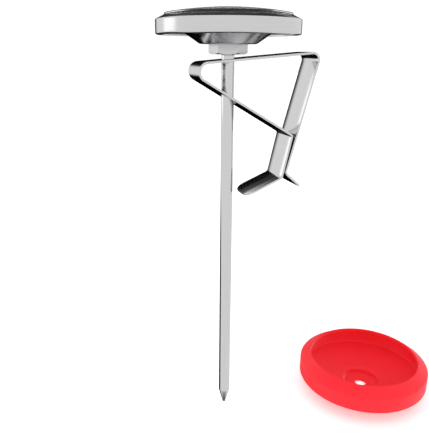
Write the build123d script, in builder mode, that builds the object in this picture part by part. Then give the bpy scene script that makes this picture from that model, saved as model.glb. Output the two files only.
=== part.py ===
"""Pocket dial thermometer with a spring clip and a silicone cover.

Z runs up the stem from the tip at the origin.  The clip lies in the XZ plane,
with its jaw on the +X side.  Sizes are in millimetres.
"""

import os
from math import cos, degrees, radians, sin, tan

from build123d import *

# Stem
STEM_RADIUS = 2.0
STEM_WALL = 0.4
STEM_LENGTH = 127.0  # from the tip to the underside of the nut
TIP_CONE = 5.5
TIP_FLAT_RADIUS = 0.48
TIP_SPIGOT = 2.5

# Head
HEAD_RADIUS = 22.25
BAND_HEIGHT = 4.35
LIP_RISE = 1.2
LIP_WIDTH = 2.4
SHEET = 0.5  # gauge of the pressed bezel and cup
CONE_FLOOR_RADIUS = 8.8
CONE_TOP_RADIUS = 13.4
CONE_DROP = 2.6  # from the rim of the head down to the cup's floor
LENS_STEP = 0.65  # height of the lens's straight side above the lip
LENS_DOME = 1.7
LENS_THICKNESS = 1.0
LENS_SKIRT = 0.5  # wall between its dome and its flange
LENS_FLANGE = 0.6
DIAL_THICKNESS = 0.4
DIAL_HOLE_RADIUS = 2.2
LOWER_RING_HEIGHT = 1.0
UPPER_RING_HEIGHT = 0.9
RING_WIDTH = 0.9
GASKET_STAND = 0.3  # how far the gasket shows above the lip's inner edge

# Nut, collar and seals
NUT_ACROSS_FLATS = 10.5
NUT_HEIGHT = 3.0
NUT_TURN = -20.0  # about Z, in degrees
NUT_EDGE = 0.45
COLLAR_RADIUS = 6.0
COLLAR_THICKNESS = 1.2
NECK_RADIUS = 3.0
WASHER_THICKNESS = 0.4
WASHER_RADIUS = 5.8
SEAL_SECTION_RADIUS = 0.4
TUBE_ABOVE_COLLAR = 1.2

# Movement
SHAFT_RADIUS = 0.4
GUIDE_LENGTH = 3.0
ANCHOR_LENGTH = 2.5
COIL_TURNS = 14
COIL_PITCH = 2.0
COIL_RADIUS = 1.0
COIL_WIRE_RADIUS = 0.22
COUPLING_RADIUS = 1.3
COUPLING_LENGTH = 1.0
GUIDE_ABOVE_COIL = 3.0

# Pointer
POINTER_INSET = 5.45  # from the side of the head in to its tip
POINTER_TAIL = 9.0
POINTER_ROOT_WIDTH = 1.1
POINTER_TIP_WIDTH = 0.35
POINTER_TAIL_WIDTH = 1.75
POINTER_THICKNESS = 0.3
POINTER_ABOVE_DIAL = 0.7
HUB_RADIUS = 1.85
HUB_HEIGHT = 1.1
HUB_CAP_RADIUS = 1.15
HUB_CAP_HEIGHT = 0.25

# Clip: one strip, bent at a hairpin beyond the stem
STRIP_WIDTH = 11.4
STRIP = 0.7
HAIRPIN_REACH = 10.85  # from the stem's axis to the middle of the strip
HAIRPIN_BELOW_NUT = 5.1
HAIRPIN_RADIUS = 2.75
HAIRPIN_SPLIT = 0.2  # slit where the two arms part
UPPER_ARM_REACH = 29.5
UPPER_ARM_SLOPE = 4.7
LOWER_ARM_REACH = 20.7
LOWER_ARM_SLOPE = 30.5
INNER_LEG_DROP = 14.0
INNER_LEG_LEAN = 12.9
TAB_LENGTH = 13.6
TAB_SLOPE = 22.6
TAB_CORNER = 3.8
FOOT_ABOVE_TAB = 1.5
FOOT_REACH = 5.3
FOOT_DROP = 4.6
ARM_BEND_RADIUS = 2.2
CORNER_BEND_RADIUS = 1.0
TAB_BEND_RADIUS = 1.5
FOOT_BEND_RADIUS = 1.5
JAW_GAP = 0.34
JAW_OPENING = 3.6  # degrees about the hairpin

# Silicone cover
COVER_WALL = 2.0
COVER_FLOOR = 1.2
COVER_LIP_THICKNESS = 1.5
COVER_LIP_REACH = 2.05  # how far the lip comes in over the seat
COVER_LIP_DROP = 2.8  # from the lip's inner edge out to the side
COVER_SEAT_WALL = 6.0
COVER_RECESS_RADIUS = 6.4
COVER_RECESS_DEPTH = 1.8
COVER_FOOT_RADIUS = 9.0
COVER_PLACE = (55.8, -7.4)  # where it lies beside the tip

# Clearances
PRESS = 0.01
RUNNING = 0.05
SLIDING = 0.12
COVER_EASE = 0.15

# Levels along the stem
nut_low = STEM_LENGTH
cup_floor = nut_low + NUT_HEIGHT
head_low = cup_floor + CONE_DROP
band_top = head_low + BAND_HEIGHT
lip_top = band_top + LIP_RISE
lip_radius = HEAD_RADIUS - LIP_WIDTH
cup_radius = HEAD_RADIUS - SHEET - RUNNING
pointer_tip = HEAD_RADIUS - POINTER_INSET
inside_radius = cup_radius - SHEET - RUNNING
cup_rim = head_low + SHEET + SHEET
dial_low = cup_rim + LOWER_RING_HEIGHT
dial_top = dial_low + DIAL_THICKNESS
flange_low = dial_top + UPPER_RING_HEIGHT
flange_top = flange_low + LENS_FLANGE
lens_edge = lip_top + LENS_STEP
lens_radius = lip_radius - GASKET_STAND - RUNNING
washer_low = cup_floor + SHEET + RUNNING
collar_low = washer_low + WASHER_THICKNESS + RUNNING
collar_top = collar_low + COLLAR_THICKNESS
tube_top = collar_top + TUBE_ABOVE_COLLAR
bore_radius = STEM_RADIUS - STEM_WALL
plug_radius = bore_radius - PRESS
anchor_low = TIP_CONE + TIP_SPIGOT
coil_low = anchor_low + ANCHOR_LENGTH + COIL_WIRE_RADIUS
coil_top = coil_low + COIL_TURNS * COIL_PITCH
shaft_low = coil_top + COIL_WIRE_RADIUS + RUNNING
lower_guide = shaft_low + COUPLING_LENGTH + GUIDE_ABOVE_COIL
pointer_low = dial_top + POINTER_ABOVE_DIAL
hub_low = pointer_low - POINTER_THICKNESS
hairpin_level = nut_low - HAIRPIN_BELOW_NUT

os.makedirs("parts", exist_ok=True)


def save(piece, label):
    """Name a finished sub-part and write it under that name."""
    piece.part.label = label
    export_step(piece.part, f"parts/{label}.step")


# ---------------------------------------------------------------- stem

with BuildPart() as stem_tube:
    with BuildSketch(Plane.XY.offset(TIP_CONE)):
        Circle(STEM_RADIUS)
        Circle(bore_radius, mode=Mode.SUBTRACT)
    extrude(amount=tube_top - TIP_CONE)
save(stem_tube, "stem_tube")

with BuildPart() as stem_tip:
    with BuildSketch(Plane.XZ):
        with BuildLine():
            Polyline(
                (0, 0),
                (TIP_FLAT_RADIUS, 0),
                (STEM_RADIUS, TIP_CONE),
                (plug_radius, TIP_CONE),
                (plug_radius, TIP_CONE + TIP_SPIGOT),
                (0, TIP_CONE + TIP_SPIGOT),
                close=True,
            )
        make_face()
    revolve(axis=Axis.Z)
save(stem_tip, "stem_tip")

with BuildPart() as hex_nut:
    with BuildSketch(Plane.XY.offset(nut_low)):
        RegularPolygon(NUT_ACROSS_FLATS / 2, 6, major_radius=False, rotation=NUT_TURN)
    extrude(amount=NUT_HEIGHT - RUNNING)
    nut_corner = NUT_ACROSS_FLATS / 2 / cos(radians(30))
    with BuildSketch(Plane.XZ):
        with BuildLine():
            Polyline(
                (NUT_ACROSS_FLATS / 2, nut_low),
                (nut_corner + NUT_EDGE, nut_low),
                (nut_corner + NUT_EDGE, nut_low + NUT_EDGE + NUT_EDGE * tan(radians(30))),
                close=True,
            )
        make_face()
    revolve(axis=Axis.Z, mode=Mode.SUBTRACT)
    with Locations((0, 0, nut_low)):
        Hole(STEM_RADIUS + PRESS)
    with BuildSketch(Plane.XY.offset(nut_low + NUT_HEIGHT)):
        Circle(NECK_RADIUS + 3 * SEAL_SECTION_RADIUS)
    extrude(amount=-3 * SEAL_SECTION_RADIUS, mode=Mode.SUBTRACT)
save(hex_nut, "hex_nut")

with BuildPart() as stem_seal:
    with BuildSketch(Plane.XZ):
        with Locations((NECK_RADIUS + 1.3 * SEAL_SECTION_RADIUS, cup_floor - 1.3 * SEAL_SECTION_RADIUS)):
            Circle(SEAL_SECTION_RADIUS)
    revolve(axis=Axis.Z)
save(stem_seal, "stem_seal")

with BuildPart() as stem_collar:
    with BuildSketch(Plane.XY.offset(cup_floor)):
        Circle(NECK_RADIUS)
    extrude(amount=collar_low - cup_floor)
    with BuildSketch(Plane.XY.offset(collar_low)):
        Circle(COLLAR_RADIUS)
    extrude(amount=COLLAR_THICKNESS)
    with Locations((0, 0, cup_floor)):
        Hole(STEM_RADIUS + PRESS)
save(stem_collar, "stem_collar")

with BuildPart() as friction_washer:
    with BuildSketch(Plane.XY.offset(washer_low)):
        Circle(WASHER_RADIUS)
        Circle(NECK_RADIUS + SLIDING, mode=Mode.SUBTRACT)
    extrude(amount=WASHER_THICKNESS)
save(friction_washer, "friction_washer")

# ------------------------------------------------------------ movement

with BuildPart() as coil_anchor:
    with BuildSketch(Plane.XY.offset(anchor_low)):
        Circle(plug_radius)
    extrude(amount=ANCHOR_LENGTH)
save(coil_anchor, "coil_anchor")

with BuildPart() as bimetal_coil:
    with BuildLine():
        turns = Helix(pitch=COIL_PITCH, height=COIL_TURNS * COIL_PITCH, radius=COIL_RADIUS, center=(0, 0, coil_low))
    with BuildSketch(Plane(origin=turns @ 0, z_dir=turns % 0)):
        Circle(COIL_WIRE_RADIUS)
    sweep(path=turns, is_frenet=True)
save(bimetal_coil, "bimetal_coil")

with BuildPart() as pointer_shaft:
    with BuildSketch(Plane.XY.offset(shaft_low)):
        Circle(COUPLING_RADIUS)
    extrude(amount=COUPLING_LENGTH)
    with BuildSketch(Plane.XY.offset(shaft_low)):
        Circle(SHAFT_RADIUS)
    extrude(amount=hub_low + HUB_HEIGHT - shaft_low)
save(pointer_shaft, "pointer_shaft")

for guide_name, guide_level in (
    ("lower_shaft_guide", lower_guide),
    ("upper_shaft_guide", tube_top - GUIDE_LENGTH),
):
    with BuildPart() as shaft_guide:
        with BuildSketch(Plane.XY.offset(guide_level)):
            Circle(plug_radius)
            Circle(SHAFT_RADIUS + RUNNING, mode=Mode.SUBTRACT)
        extrude(amount=GUIDE_LENGTH)
    save(shaft_guide, guide_name)

with BuildPart() as pointer:
    with BuildSketch(Plane.XY.offset(pointer_low)):
        with BuildLine():
            Polyline(
                (HUB_RADIUS, POINTER_TAIL_WIDTH / 2),
                (0, POINTER_ROOT_WIDTH / 2),
                (-pointer_tip, POINTER_TIP_WIDTH / 2),
                (-pointer_tip, -POINTER_TIP_WIDTH / 2),
                (0, -POINTER_ROOT_WIDTH / 2),
                (HUB_RADIUS, -POINTER_TAIL_WIDTH / 2),
                (POINTER_TAIL, -POINTER_TAIL_WIDTH / 2),
                (POINTER_TAIL, POINTER_TAIL_WIDTH / 2),
                close=True,
            )
        make_face()
        Circle(HUB_RADIUS - SHEET)
        Circle(HUB_CAP_RADIUS, mode=Mode.SUBTRACT)
    extrude(amount=POINTER_THICKNESS)
save(pointer, "pointer")

with BuildPart() as pointer_hub:
    with BuildSketch(Plane.XY.offset(hub_low)):
        Circle(HUB_RADIUS)
    extrude(amount=POINTER_THICKNESS)
    with BuildSketch(Plane.XY.offset(pointer_low)):
        Circle(HUB_CAP_RADIUS - PRESS)
    extrude(amount=POINTER_THICKNESS)
    with BuildSketch(Plane.XY.offset(pointer_low + POINTER_THICKNESS)):
        Circle(HUB_RADIUS)
    extrude(amount=HUB_HEIGHT - 2 * POINTER_THICKNESS)
    with Locations((0, 0, hub_low)):
        Hole(SHAFT_RADIUS + PRESS)
save(pointer_hub, "pointer_hub")

with BuildPart() as hub_cap:
    with BuildSketch(Plane.XY.offset(hub_low + HUB_HEIGHT)):
        Circle(HUB_CAP_RADIUS)
    extrude(amount=HUB_CAP_HEIGHT)
    chamfer(hub_cap.edges().sort_by(Axis.Z)[-1], HUB_CAP_HEIGHT / 2)
save(hub_cap, "hub_cap")

# ---------------------------------------------------------------- case

with BuildPart() as case_cup:
    with BuildSketch(Plane.XZ):
        with BuildLine():
            Polyline(
                (NECK_RADIUS + RUNNING, cup_floor),
                (CONE_FLOOR_RADIUS, cup_floor),
                (CONE_TOP_RADIUS, head_low + SHEET),
                (cup_radius, head_low + SHEET),
                (cup_radius, flange_top),
                (cup_radius - SHEET, flange_top),
                (cup_radius - SHEET, cup_rim),
                (CONE_TOP_RADIUS - SHEET / 2, cup_rim),
                (CONE_FLOOR_RADIUS - SHEET / 2, cup_floor + SHEET),
                (NECK_RADIUS + RUNNING, cup_floor + SHEET),
                close=True,
            )
        make_face()
    revolve(axis=Axis.Z)
save(case_cup, "case_cup")

with BuildPart() as bezel_ring:
    with BuildSketch(Plane.XZ) as bezel_section:
        with BuildLine():
            Polyline(
                (cup_radius - 2 * SHEET, head_low),
                (HEAD_RADIUS, head_low),
                (HEAD_RADIUS, band_top),
                (lip_radius, lip_top),
                (lip_radius, lip_top - SHEET * HEAD_RADIUS / (HEAD_RADIUS - SHEET)),
                (HEAD_RADIUS - SHEET, band_top - SHEET / 2),
                (HEAD_RADIUS - SHEET, head_low + SHEET - RUNNING),
                (cup_radius - 2 * SHEET, head_low + SHEET - RUNNING),
                close=True,
            )
        make_face()
        rolled = bezel_section.vertices().group_by(Axis.X)[-1]
        fillet(rolled, SHEET)
    revolve(axis=Axis.Z)
save(bezel_ring, "bezel_ring")

with BuildPart() as lower_dial_ring:
    with BuildSketch(Plane.XY.offset(cup_rim)):
        Circle(inside_radius)
        Circle(inside_radius - RING_WIDTH, mode=Mode.SUBTRACT)
    extrude(amount=LOWER_RING_HEIGHT)
save(lower_dial_ring, "lower_dial_ring")

with BuildPart() as dial_plate:
    with BuildSketch(Plane.XY.offset(dial_low)):
        Circle(inside_radius)
        Circle(DIAL_HOLE_RADIUS, mode=Mode.SUBTRACT)
    extrude(amount=DIAL_THICKNESS)
save(dial_plate, "dial_plate")

with BuildPart() as upper_dial_ring:
    with BuildSketch(Plane.XY.offset(dial_top)):
        Circle(inside_radius)
        Circle(inside_radius - RING_WIDTH, mode=Mode.SUBTRACT)
    extrude(amount=UPPER_RING_HEIGHT)
save(upper_dial_ring, "upper_dial_ring")

with BuildPart() as lens:
    with BuildSketch(Plane.XZ):
        with BuildLine():
            edge_top = (lens_radius, lens_edge)
            dome_top = (0, lens_edge + LENS_DOME)
            dome_radius = (lens_radius**2 + LENS_DOME**2) / (2 * LENS_DOME)
            Line((lens_radius - LENS_SKIRT, flange_low), (inside_radius, flange_low))
            Line((inside_radius, flange_low), (inside_radius, flange_top))
            Line((inside_radius, flange_top), (lens_radius, flange_top))
            Line((lens_radius, flange_top), edge_top)
            RadiusArc(edge_top, dome_top, -dome_radius)
            Line(dome_top, (0, lens_edge + LENS_DOME - LENS_THICKNESS))
            RadiusArc(
                (0, lens_edge + LENS_DOME - LENS_THICKNESS),
                (lens_radius - LENS_SKIRT, lens_edge - LENS_THICKNESS),
                dome_radius,
            )
            Line(
                (lens_radius - LENS_SKIRT, lens_edge - LENS_THICKNESS),
                (lens_radius - LENS_SKIRT, flange_low),
            )
        make_face()
    revolve(axis=Axis.Z)
save(lens, "lens")

with BuildPart() as lens_gasket:
    under_lip = lip_top - SHEET * HEAD_RADIUS / (HEAD_RADIUS - SHEET)
    under_slope = (under_lip - band_top + SHEET / 2) / (HEAD_RADIUS - SHEET - lip_radius)
    with BuildSketch(Plane.XZ):
        with BuildLine():
            Polyline(
                (lens_radius + RUNNING, flange_top),
                (inside_radius, flange_top),
                (inside_radius, under_lip - RUNNING - (inside_radius - lip_radius) * under_slope),
                (lip_radius - RUNNING, under_lip - RUNNING),
                (lip_radius - RUNNING, lip_top - RUNNING),
                (lens_radius + RUNNING, lip_top - RUNNING),
                close=True,
            )
        make_face()
    revolve(axis=Axis.Z)
save(lens_gasket, "lens_gasket")

# ---------------------------------------------------------------- clip


def along(start, heading, distance):
    """The point a distance from start, with heading in degrees above +X."""
    return (
        start[0] + distance * cos(radians(heading)),
        start[1] + distance * sin(radians(heading)),
    )


hairpin_centre = (HAIRPIN_RADIUS - HAIRPIN_REACH, hairpin_level)
half_slit = degrees(HAIRPIN_SPLIT / 2 / HAIRPIN_RADIUS)

upper_start = along(hairpin_centre, 90 + UPPER_ARM_SLOPE, HAIRPIN_RADIUS)
upper_rise = (UPPER_ARM_REACH - upper_start[0]) * tan(radians(UPPER_ARM_SLOPE))
upper_corner = (UPPER_ARM_REACH, upper_start[1] + upper_rise)

lower_start = along(hairpin_centre, 270 - LOWER_ARM_SLOPE, HAIRPIN_RADIUS)
lower_fall = (LOWER_ARM_REACH - lower_start[0]) * tan(radians(LOWER_ARM_SLOPE))
lower_corner = (LOWER_ARM_REACH, lower_start[1] - lower_fall)
tab_corner = (
    lower_corner[0] - INNER_LEG_DROP * tan(radians(INNER_LEG_LEAN)),
    lower_corner[1] - INNER_LEG_DROP,
)
tab_end = along(tab_corner, 180 + TAB_SLOPE, TAB_LENGTH)

leg_pitch = STRIP / cos(radians(INNER_LEG_LEAN)) + JAW_GAP
foot_corner = (
    tab_corner[0] + FOOT_ABOVE_TAB * tan(radians(INNER_LEG_LEAN)) + leg_pitch,
    tab_corner[1] + FOOT_ABOVE_TAB,
)
foot_end = (foot_corner[0] + FOOT_REACH, foot_corner[1] - FOOT_DROP)

stem_hole_radius = STEM_RADIUS + SLIDING
arm_level_at_stem = lower_start[1] + lower_start[0] * tan(radians(LOWER_ARM_SLOPE))
slot_shift = (hairpin_level - arm_level_at_stem) * radians(JAW_OPENING)

with BuildPart() as clip_upper:
    with BuildSketch(Plane.XZ):
        with BuildLine():
            CenterArc(
                hairpin_centre,
                HAIRPIN_RADIUS,
                90 + UPPER_ARM_SLOPE,
                90 - UPPER_ARM_SLOPE - half_slit,
            )
            FilletPolyline(
                upper_start,
                upper_corner,
                foot_corner,
                foot_end,
                radius=(ARM_BEND_RADIUS, FOOT_BEND_RADIUS),
            )
        trace(line_width=STRIP)
    extrude(amount=STRIP_WIDTH / 2, both=True)
    with BuildSketch(Plane.XY.offset(nut_low)):
        Circle(stem_hole_radius)
    extrude(amount=lower_corner[1] - nut_low, mode=Mode.SUBTRACT)
save(clip_upper, "clip_upper")

with BuildPart() as clip_lower:
    with BuildSketch(Plane.XZ):
        with BuildLine():
            CenterArc(
                hairpin_centre,
                HAIRPIN_RADIUS,
                180 + half_slit,
                90 - LOWER_ARM_SLOPE - half_slit,
            )
            FilletPolyline(
                lower_start,
                lower_corner,
                tab_corner,
                tab_end,
                radius=(CORNER_BEND_RADIUS, TAB_BEND_RADIUS),
            )
        trace(line_width=STRIP)
    extrude(amount=STRIP_WIDTH / 2, both=True)
    tab_tip = clip_lower.faces().sort_by(Axis.Z)[0]
    fillet(tab_tip.edges().filter_by(Axis.Y, reverse=True), TAB_CORNER)
    with BuildSketch(Plane.XY.offset(nut_low)):
        with Locations((slot_shift / 2, 0)):
            SlotCenterToCenter(slot_shift, 2 * stem_hole_radius)
    extrude(amount=lower_corner[1] - nut_low, mode=Mode.SUBTRACT)
save(clip_lower, "clip_lower")

# --------------------------------------------------------------- cover

cover_plane = Plane(origin=(*COVER_PLACE, 0), x_dir=(1, 0, 0), z_dir=(0, -1, 0))
seat_radius = HEAD_RADIUS + COVER_EASE
cover_radius = seat_radius + COVER_WALL
cover_opening = seat_radius - COVER_LIP_REACH
# Heights above the cover's own underside, with the nut on its floor.
nut_rest = COVER_FLOOR + RUNNING
ledge = nut_rest + NUT_HEIGHT + CONE_DROP - COVER_EASE
lip_slope = LIP_RISE / LIP_WIDTH
seat_top = ledge + COVER_EASE + BAND_HEIGHT + COVER_EASE
lip_under = seat_top + COVER_LIP_REACH * lip_slope
cover_height = lip_under + COVER_LIP_THICKNESS
band_high = cover_height - COVER_LIP_DROP
band_low = band_high - COVER_SEAT_WALL
recess_top = COVER_FLOOR + COVER_RECESS_DEPTH

with BuildPart() as silicone_cover:
    with BuildSketch(cover_plane):
        with BuildLine():
            hole_radius = STEM_RADIUS + COVER_EASE
            bowl_middle = (COVER_RECESS_RADIUS + seat_radius) / 2
            bowl_dip = (recess_top + ledge) / 2 - COVER_RECESS_DEPTH / 3
            Polyline(
                (COVER_RECESS_RADIUS, recess_top),
                (COVER_RECESS_RADIUS, COVER_FLOOR),
                (hole_radius, COVER_FLOOR),
                (hole_radius, 0),
                (COVER_FOOT_RADIUS, 0),
            )
            ThreePointArc(
                (COVER_FOOT_RADIUS, 0),
                ((COVER_FOOT_RADIUS + cover_radius) / 2, band_low / 2 - COVER_WALL / 4),
                (cover_radius, band_low),
            )
            Polyline(
                (cover_radius, band_low),
                (cover_radius, band_high),
                (cover_opening, cover_height),
                (cover_opening, lip_under),
                (seat_radius, seat_top),
                (seat_radius, ledge),
            )
            ThreePointArc(
                (seat_radius, ledge),
                (bowl_middle, bowl_dip),
                (COVER_RECESS_RADIUS, recess_top),
            )
        make_face()
    revolve(axis=Axis((*COVER_PLACE, 0), (0, 0, 1)))
save(silicone_cover, "silicone_cover")
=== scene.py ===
"""Dial thermometer with a spring clip and a silicone cover: its finished pieces and its stage.

The stem stands on its tip at the origin, the clip lies in the XZ plane, and the cover lies
beside the tip.  Lengths are in metres.
"""

from itertools import pairwise
from math import atan2, cos, degrees, hypot, pi, radians, sin, tan

import bmesh
import bpy
from mathutils import Matrix, Vector


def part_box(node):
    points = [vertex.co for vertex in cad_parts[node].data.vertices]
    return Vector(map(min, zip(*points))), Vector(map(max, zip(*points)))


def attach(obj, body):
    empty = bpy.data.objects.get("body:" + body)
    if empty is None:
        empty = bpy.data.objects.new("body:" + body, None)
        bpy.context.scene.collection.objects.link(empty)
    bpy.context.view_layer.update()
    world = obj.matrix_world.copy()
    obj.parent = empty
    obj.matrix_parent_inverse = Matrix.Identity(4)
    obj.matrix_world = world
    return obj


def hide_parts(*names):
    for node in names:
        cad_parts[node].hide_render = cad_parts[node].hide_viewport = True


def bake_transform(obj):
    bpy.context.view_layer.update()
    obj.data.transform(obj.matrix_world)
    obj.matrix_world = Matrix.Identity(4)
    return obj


bl_info = {
    "name": "Dial thermometer",
    "version": (1, 0, 0),
    "blender": (4, 5, 0),
    "location": "3D View > Sidebar > Thermometer",
    "description": "Builds a clip-on dial thermometer, its silicone cover and a small studio",
    "category": "Object",
}

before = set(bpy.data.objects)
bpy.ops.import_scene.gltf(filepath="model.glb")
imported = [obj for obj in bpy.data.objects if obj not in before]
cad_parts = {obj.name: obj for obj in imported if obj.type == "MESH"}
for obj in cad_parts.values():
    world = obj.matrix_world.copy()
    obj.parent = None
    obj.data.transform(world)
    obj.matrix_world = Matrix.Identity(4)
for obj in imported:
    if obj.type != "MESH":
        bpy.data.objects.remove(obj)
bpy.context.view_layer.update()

MM = 0.001


def linear(code):
    """Linear RGBA of an sRGB hex colour."""
    shares = [int(code[place : place + 2], 16) / 255 for place in (0, 2, 4)]
    return [s / 12.92 if s <= 0.04045 else ((s + 0.055) / 1.055) ** 2.4 for s in shares] + [1.0]


# ------------------------------------------------------------------ modelling


def deselect():
    """Leave nothing selected, so that an operator acts on the new piece only."""
    bpy.ops.object.select_all(action="DESELECT")


def named(name):
    """The object just added, under its own name."""
    piece = bpy.context.object
    piece.name = name
    piece.data.name = name
    return piece


def select_where(piece, test):
    """In edit mode, select the vertices whose place passes the test, and what they span."""
    mesh = bmesh.from_edit_mesh(piece.data)
    for vertex in mesh.verts:
        vertex.select = test(vertex.co)
    mesh.select_flush(True)
    mesh.select_flush(False)
    bmesh.update_edit_mesh(piece.data)


def point_at(name, place):
    """A new piece in edit mode that is one vertex at a place."""
    deselect()
    bpy.ops.mesh.primitive_plane_add()
    piece = named(name)
    bpy.ops.object.mode_set(mode="EDIT")
    bpy.ops.mesh.merge(type="CENTER")
    bpy.ops.transform.translate(value=place)
    return piece


def extrude_to(step):
    """Extrude the selected vertices, edges or faces by one step."""
    bpy.ops.mesh.extrude_region_move(TRANSFORM_OT_translate={"value": step})


def trace_outline(piece, outline, closed):
    """Draw an outline of (x, z) points in the XZ plane from the piece's one vertex."""
    for start, end in pairwise(outline):
        extrude_to((end[0] - start[0], 0, end[1] - start[1]))
    if closed:
        ends = [Vector((x, 0, z)) for x, z in (outline[0], outline[-1])]
        select_where(piece, lambda place: min((place - end).length for end in ends) < 1e-7)
        bpy.ops.mesh.edge_face_add()


def round_corners(piece, corners):
    """Round each (x, z) corner of a traced outline; the last number is the length it takes up."""
    for x, z, length in corners:
        corner = Vector((x, 0, z))
        select_where(piece, lambda place: (place - corner).length < 1e-7)
        bpy.ops.mesh.bevel(offset=length, segments=5, affect="VERTICES")


def turned(name, outline, corners=(), closed=True, steps=192):
    """A body of revolution about Z with this half section of (radius, height) points."""
    piece = point_at(name, (outline[0][0], 0, outline[0][1]))
    trace_outline(piece, outline, closed)
    round_corners(piece, corners)
    bpy.ops.mesh.select_all(action="SELECT")
    bpy.ops.mesh.spin(steps=steps, angle=2 * pi, use_auto_merge=True, center=(0, 0, 0), axis=(0, 0, 1))
    bpy.ops.mesh.select_all(action="SELECT")
    bpy.ops.mesh.remove_doubles(threshold=1e-6)
    bpy.ops.mesh.normals_make_consistent(inside=False)
    bpy.ops.object.mode_set(mode="OBJECT")
    return piece


def arc_points(start, end, rise, count):
    """Points of an arc from start to end that stands rise above the middle of its chord."""
    chord = hypot(end[0] - start[0], end[1] - start[1])
    radius = (chord**2 / 4 + rise**2) / (2 * rise)
    half = 2 * atan2(2 * rise, chord)
    along = ((end[0] - start[0]) / chord, (end[1] - start[1]) / chord)
    middle = ((start[0] + end[0]) / 2, (start[1] + end[1]) / 2)
    points = []
    for number in range(count + 1):
        angle = half * (2 * number / count - 1)
        forward = radius * sin(angle)
        up = radius * (cos(angle) - cos(half))
        points.append(
            (
                middle[0] + forward * along[0] - up * along[1],
                middle[1] + forward * along[1] + up * along[0],
            )
        )
    return points


def modify(piece, kind, **settings):
    """Add a modifier with its settings and apply it."""
    modifier = piece.modifiers.new(kind.title(), kind)
    for setting, value in settings.items():
        setattr(modifier, setting, value)
    bpy.context.view_layer.objects.active = piece
    bpy.ops.object.modifier_apply(modifier=modifier.name)


def cut(piece, tool, operation="DIFFERENCE"):
    """Cut one piece with another, which is then thrown away."""
    modify(piece, "BOOLEAN", object=tool, operation=operation, solver="EXACT")
    bpy.data.objects.remove(tool)


def join(name, pieces):
    """Join several pieces into the first."""
    deselect()
    for piece in pieces:
        piece.select_set(True)
    bpy.context.view_layer.objects.active = pieces[0]
    bpy.ops.object.join()
    return named(name)


def finish_piece(piece, material, smooth=35):
    """Apply the piece's place, shade it smooth up to an angle and give it its material."""
    deselect()
    piece.select_set(True)
    bpy.context.view_layer.objects.active = piece
    bpy.ops.object.transform_apply(location=True, rotation=True, scale=True)
    bpy.ops.object.shade_smooth_by_angle(angle=radians(smooth))
    piece.data.materials.clear()
    piece.data.materials.append(material)
    return piece


def fit_piece(piece, body, slot, *nodes):
    """Let the piece move with its body and stand for its CAD nodes."""
    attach(piece, body)
    if nodes:
        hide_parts(*nodes)


# ------------------------------------------------------------------ materials


def add_node(tree, kind, links=None, **settings):
    """Add a node with its settings; links gives its inputs a value or another node's output."""
    node = tree.nodes.new(kind)
    for setting, value in settings.items():
        setattr(node, setting, value)
    for socket, value in (links or {}).items():
        if isinstance(value, bpy.types.NodeSocket):
            tree.links.new(value, node.inputs[socket])
        else:
            node.inputs[socket].default_value = value
    return node


def made_once(name):
    """Make the material of this name when it is first asked for, and find it after that."""

    def wrap(make):
        return lambda colours: bpy.data.materials.get(name) or make(name, colours)

    return wrap


def new_material(name, constants):
    """A new material with the values that are the same all over, its tree, shader and place."""
    material = bpy.data.materials.new(name)
    material.use_nodes = True
    tree = material.node_tree
    shader = tree.nodes["Principled BSDF"]
    for socket, value in constants.items():
        shader.inputs[socket].default_value = value
    return material, tree, shader, add_node(tree, "ShaderNodeTexCoord").outputs["Object"]


def noise(tree, place, size, detail, roughness=0.5):
    """Noise whose features are about this size."""
    links = {"Vector": place, "Scale": 1 / size, "Detail": detail, "Roughness": roughness}
    return add_node(tree, "ShaderNodeTexNoise", links).outputs[0]


def stretched(tree, place, sizes):
    """A place stretched so that one unit is this length along each axis."""
    scale = [1 / size for size in sizes]
    return add_node(tree, "ShaderNodeMapping", {"Vector": place, "Scale": scale}).outputs[0]


def vary_surface(tree, shader, pattern, shades, roughness, bump):
    """Drive the colour, the roughness and a fine bump from one pattern."""
    low, high = shades
    colour = add_node(
        tree, "ShaderNodeMix", {0: pattern, 6: list(low), 7: list(high)}, data_type="RGBA"
    )
    rough = add_node(
        tree, "ShaderNodeMapRange", {"Value": pattern, "To Min": roughness[0], "To Max": roughness[1]}
    )
    relief = add_node(tree, "ShaderNodeBump", {"Height": pattern, "Strength": bump[0], "Distance": bump[1]})
    tree.links.new(colour.outputs[2], shader.inputs["Base Color"])
    tree.links.new(rough.outputs[0], shader.inputs["Roughness"])
    tree.links.new(relief.outputs[0], shader.inputs["Normal"])


def darker(colour, share):
    """The same colour at a share of its brightness."""
    return [channel * share for channel in colour[:3]] + [1.0]


@made_once("Drawn stainless steel")
def drawn_stainless(name, colours):
    """Drawn 304 tube, polished along its length: long faint streaks in a soft mirror."""
    material, tree, shader, place = new_material(name, {"Metallic": 1.0})
    # Real draw marks are about 0.02 mm apart; 0.4 mm is the finest that shows.
    streaks = noise(tree, stretched(tree, place, (0.4 * MM, 0.4 * MM, 30 * MM)), 1, 3.0, 0.6)
    steel = list(colours.steel)
    vary_surface(tree, shader, streaks, (darker(steel, 0.88), steel), (0.08, 0.14), (0.1, 0.01 * MM))
    return material


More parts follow.
